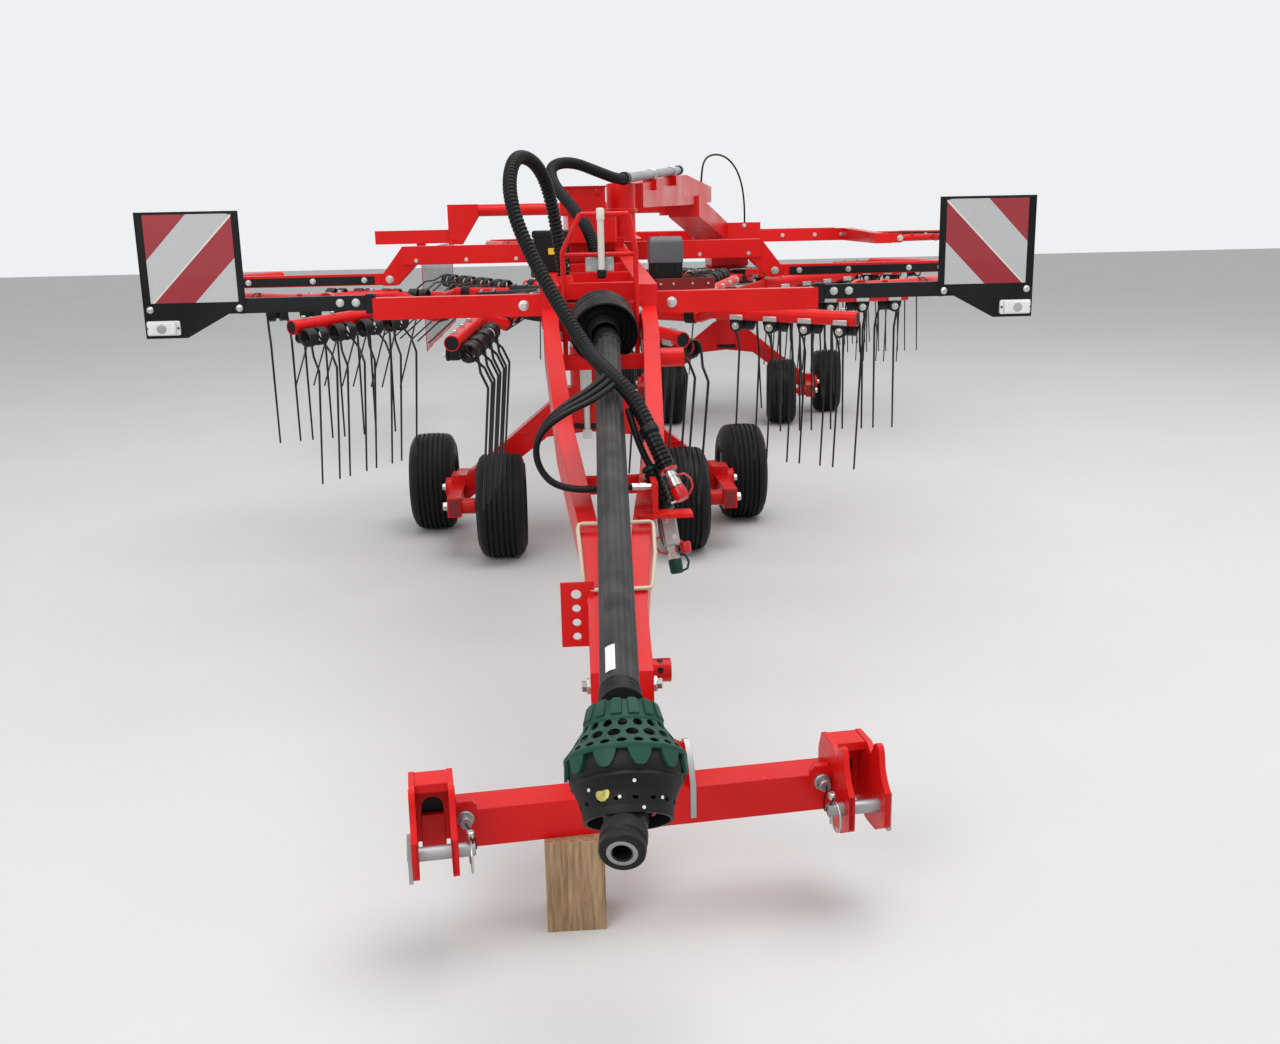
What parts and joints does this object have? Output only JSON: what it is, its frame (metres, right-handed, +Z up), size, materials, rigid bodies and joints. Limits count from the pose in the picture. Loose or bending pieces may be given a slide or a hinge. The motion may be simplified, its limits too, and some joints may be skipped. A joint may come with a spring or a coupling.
{
  "type": "rotary rake",
  "caption": "Trailed side-delivery rotary rake with tined rotors in line, folding guards, a swath curtain and steered rear running gear, parked on a block.",
  "frame": {"origin": "on the ground at the middle of the bounding box", "axes": "+X machine's left, -Y direction of travel, +Z up"},
  "size_m": [4.5502, 8.739, 1.8328],
  "materials": {
    "red_paint": "gloss enamel",
    "black_paint": "satin enamel",
    "coupler_red": "moulded",
    "zinc": "zinc plated",
    "spring_steel": "dark oiled steel",
    "tyre": "matt",
    "rim_paint": "satin enamel",
    "wood": "weathered",
    "black_plastic": "moulded",
    "green_plastic": "moulded",
    "hose_black": "matt",
    "panel_white": "retroreflective",
    "lamp": "clear lens",
    "mesh": "coated mesh",
    "grey_plastic": "moulded",
    "galvanised": "galvanised"
  },
  "bodies": {
    "chassis": {"control_box": "black_plastic", "drawbar": "red_paint", "front_carriage": "red_paint", "front_gearbox": "red_paint", "hose_arch": "hose_black", "hose_branch": "hose_black", "hose_bundle": "hose_black", "hose_cage": "red_paint", "hose_couplers": "coupler_red", "hose_strand_1": "hose_black", "hose_strand_2": "hose_black", "hose_strand_3": "hose_black", "lift_cylinder": "zinc", "main_frame": "red_paint", "panel_arms": "black_paint", "panel_lamps": "lamp", "shaft_bell": "green_plastic", "shaft_guard": "black_plastic", "shaft_tunnel": "black_plastic", "shaft_yoke": "black_paint", "valve_box": "grey_plastic", "warning_panels": "panel_white"},
    "headstock": {"headstock": "red_paint", "hitch_pins": "galvanised", "support_block": "wood"},
    "rear_arm": {"boom": "red_paint", "rear_frame": "red_paint", "hose_tube": "grey_plastic", "curtain_carrier": "red_paint", "hose_rear": "hose_black"},
    "rear_carriage": {"rear_carriage": "red_paint"},
    "curtain": {"curtain_rail": "red_paint", "curtain_sheet": "mesh"},
    "rotor_front": {"rotor_arms_front": "red_paint", "rotor_hub_front": "black_paint", "rotor_tines_front": "spring_steel"},
    "guard_front_left": {"guard_front_left": "red_paint"},
    "wheel_front_left_inner": {"tyre_front_left_inner": "tyre", "rim_front_left_inner": "rim_paint"},
    "wheel_front_left_outer": {"tyre_front_left_outer": "tyre", "rim_front_left_outer": "rim_paint"},
    "guard_front_right": {"guard_front_right": "red_paint"},
    "wheel_front_right_inner": {"tyre_front_right_inner": "tyre", "rim_front_right_inner": "rim_paint"},
    "wheel_front_right_outer": {"tyre_front_right_outer": "tyre", "rim_front_right_outer": "rim_paint"},
    "rotor_rear": {"rotor_arms_rear": "red_paint", "rotor_hub_rear": "black_paint", "rotor_tines_rear": "spring_steel"},
    "guard_rear_left": {"guard_rear_left": "red_paint"},
    "wheel_rear_left_inner": {"tyre_rear_left_inner": "tyre", "rim_rear_left_inner": "rim_paint"},
    "wheel_rear_left_outer": {"tyre_rear_left_outer": "tyre", "rim_rear_left_outer": "rim_paint"},
    "guard_rear_right": {"guard_rear_right": "red_paint"},
    "wheel_rear_right_inner": {"tyre_rear_right_inner": "tyre", "rim_rear_right_inner": "rim_paint"},
    "wheel_rear_right_outer": {"tyre_rear_right_outer": "tyre", "rim_rear_right_outer": "rim_paint"}
  },
  "joints": [
    {"name": "headstock_swing", "type": "hinge", "parent": "chassis", "child": "headstock", "pos_m": [-0.555, -3.671, 0.33], "axis": [0, 0, 1], "range_deg": [-30, 25]},
    {"name": "front_rotor_spin", "type": "hinge", "parent": "chassis", "child": "rotor_front", "pos_m": [-0.555, -0.53, 1.078], "axis": [0, -0.0689, 0.9976], "continuous": true},
    {"name": "rear_arm_swing", "type": "hinge", "parent": "chassis", "child": "rear_arm", "pos_m": [-0.39, -0.59, 1.5], "axis": [0, 0, 1], "range_deg": [-9, 16]},
    {"name": "rear_rotor_spin", "type": "hinge", "parent": "rear_arm", "child": "rotor_rear", "pos_m": [0.555, 2.97, 1.04], "axis": [0, 0, 1], "continuous": true},
    {"name": "rear_carriage_steer", "type": "hinge", "parent": "rear_arm", "child": "rear_carriage", "pos_m": [0.555, 2.97, 0.64], "axis": [0, 0, 1], "range_deg": [-20, 30]},
    {"name": "curtain_fold", "type": "hinge", "parent": "rear_arm", "child": "curtain", "pos_m": [-1.255, 1.37, 1.345], "axis": [0, 1, 0], "range_deg": [0, 100]},
    {"name": "front_left_guard_fold", "type": "hinge", "parent": "chassis", "child": "guard_front_left", "pos_m": [-1.415, -0.43, 1.19], "axis": [0, 1, 0], "range_deg": [0, 95]},
    {"name": "front_right_guard_fold", "type": "hinge", "parent": "chassis", "child": "guard_front_right", "pos_m": [0.305, -0.43, 1.19], "axis": [0, -1, 0], "range_deg": [0, 95]},
    {"name": "rear_left_guard_fold", "type": "hinge", "parent": "rear_arm", "child": "guard_rear_left", "pos_m": [-0.305, 3.07, 1.29], "axis": [0, 1, 0], "range_deg": [0, 95]},
    {"name": "rear_right_guard_fold", "type": "hinge", "parent": "rear_arm", "child": "guard_rear_right", "pos_m": [1.415, 3.07, 1.29], "axis": [0, -1, 0], "range_deg": [0, 95]},
    {"name": "front_left_inner_spin", "type": "hinge", "parent": "chassis", "child": "wheel_front_left_inner", "pos_m": [-0.95, -0.824, 0.2285], "axis": [1, 0, 0], "continuous": true},
    {"name": "front_left_outer_spin", "type": "hinge", "parent": "chassis", "child": "wheel_front_left_outer", "pos_m": [-1.293, -0.236, 0.2285], "axis": [1, 0, 0], "continuous": true},
    {"name": "front_right_inner_spin", "type": "hinge", "parent": "chassis", "child": "wheel_front_right_inner", "pos_m": [-0.16, -0.824, 0.2285], "axis": [1, 0, 0], "continuous": true},
    {"name": "front_right_outer_spin", "type": "hinge", "parent": "chassis", "child": "wheel_front_right_outer", "pos_m": [0.183, -0.236, 0.2285], "axis": [1, 0, 0], "continuous": true},
    {"name": "rear_left_inner_spin", "type": "hinge", "parent": "rear_carriage", "child": "wheel_rear_left_inner", "pos_m": [0.11689, 2.74523, 0.2285], "axis": [0.9863, -0.165, 0], "continuous": true},
    {"name": "rear_left_outer_spin", "type": "hinge", "parent": "rear_carriage", "child": "wheel_rear_left_outer", "pos_m": [-0.12435, 3.38177, 0.2285], "axis": [0.9863, -0.165, 0], "continuous": true},
    {"name": "rear_right_inner_spin", "type": "hinge", "parent": "rear_carriage", "child": "wheel_rear_right_inner", "pos_m": [0.89606, 2.61484, 0.2285], "axis": [0.9863, -0.165, 0], "continuous": true},
    {"name": "rear_right_outer_spin", "type": "hinge", "parent": "rear_carriage", "child": "wheel_rear_right_outer", "pos_m": [1.3314, 3.13816, 0.2285], "axis": [0.9863, -0.165, 0], "continuous": true}
  ]
}
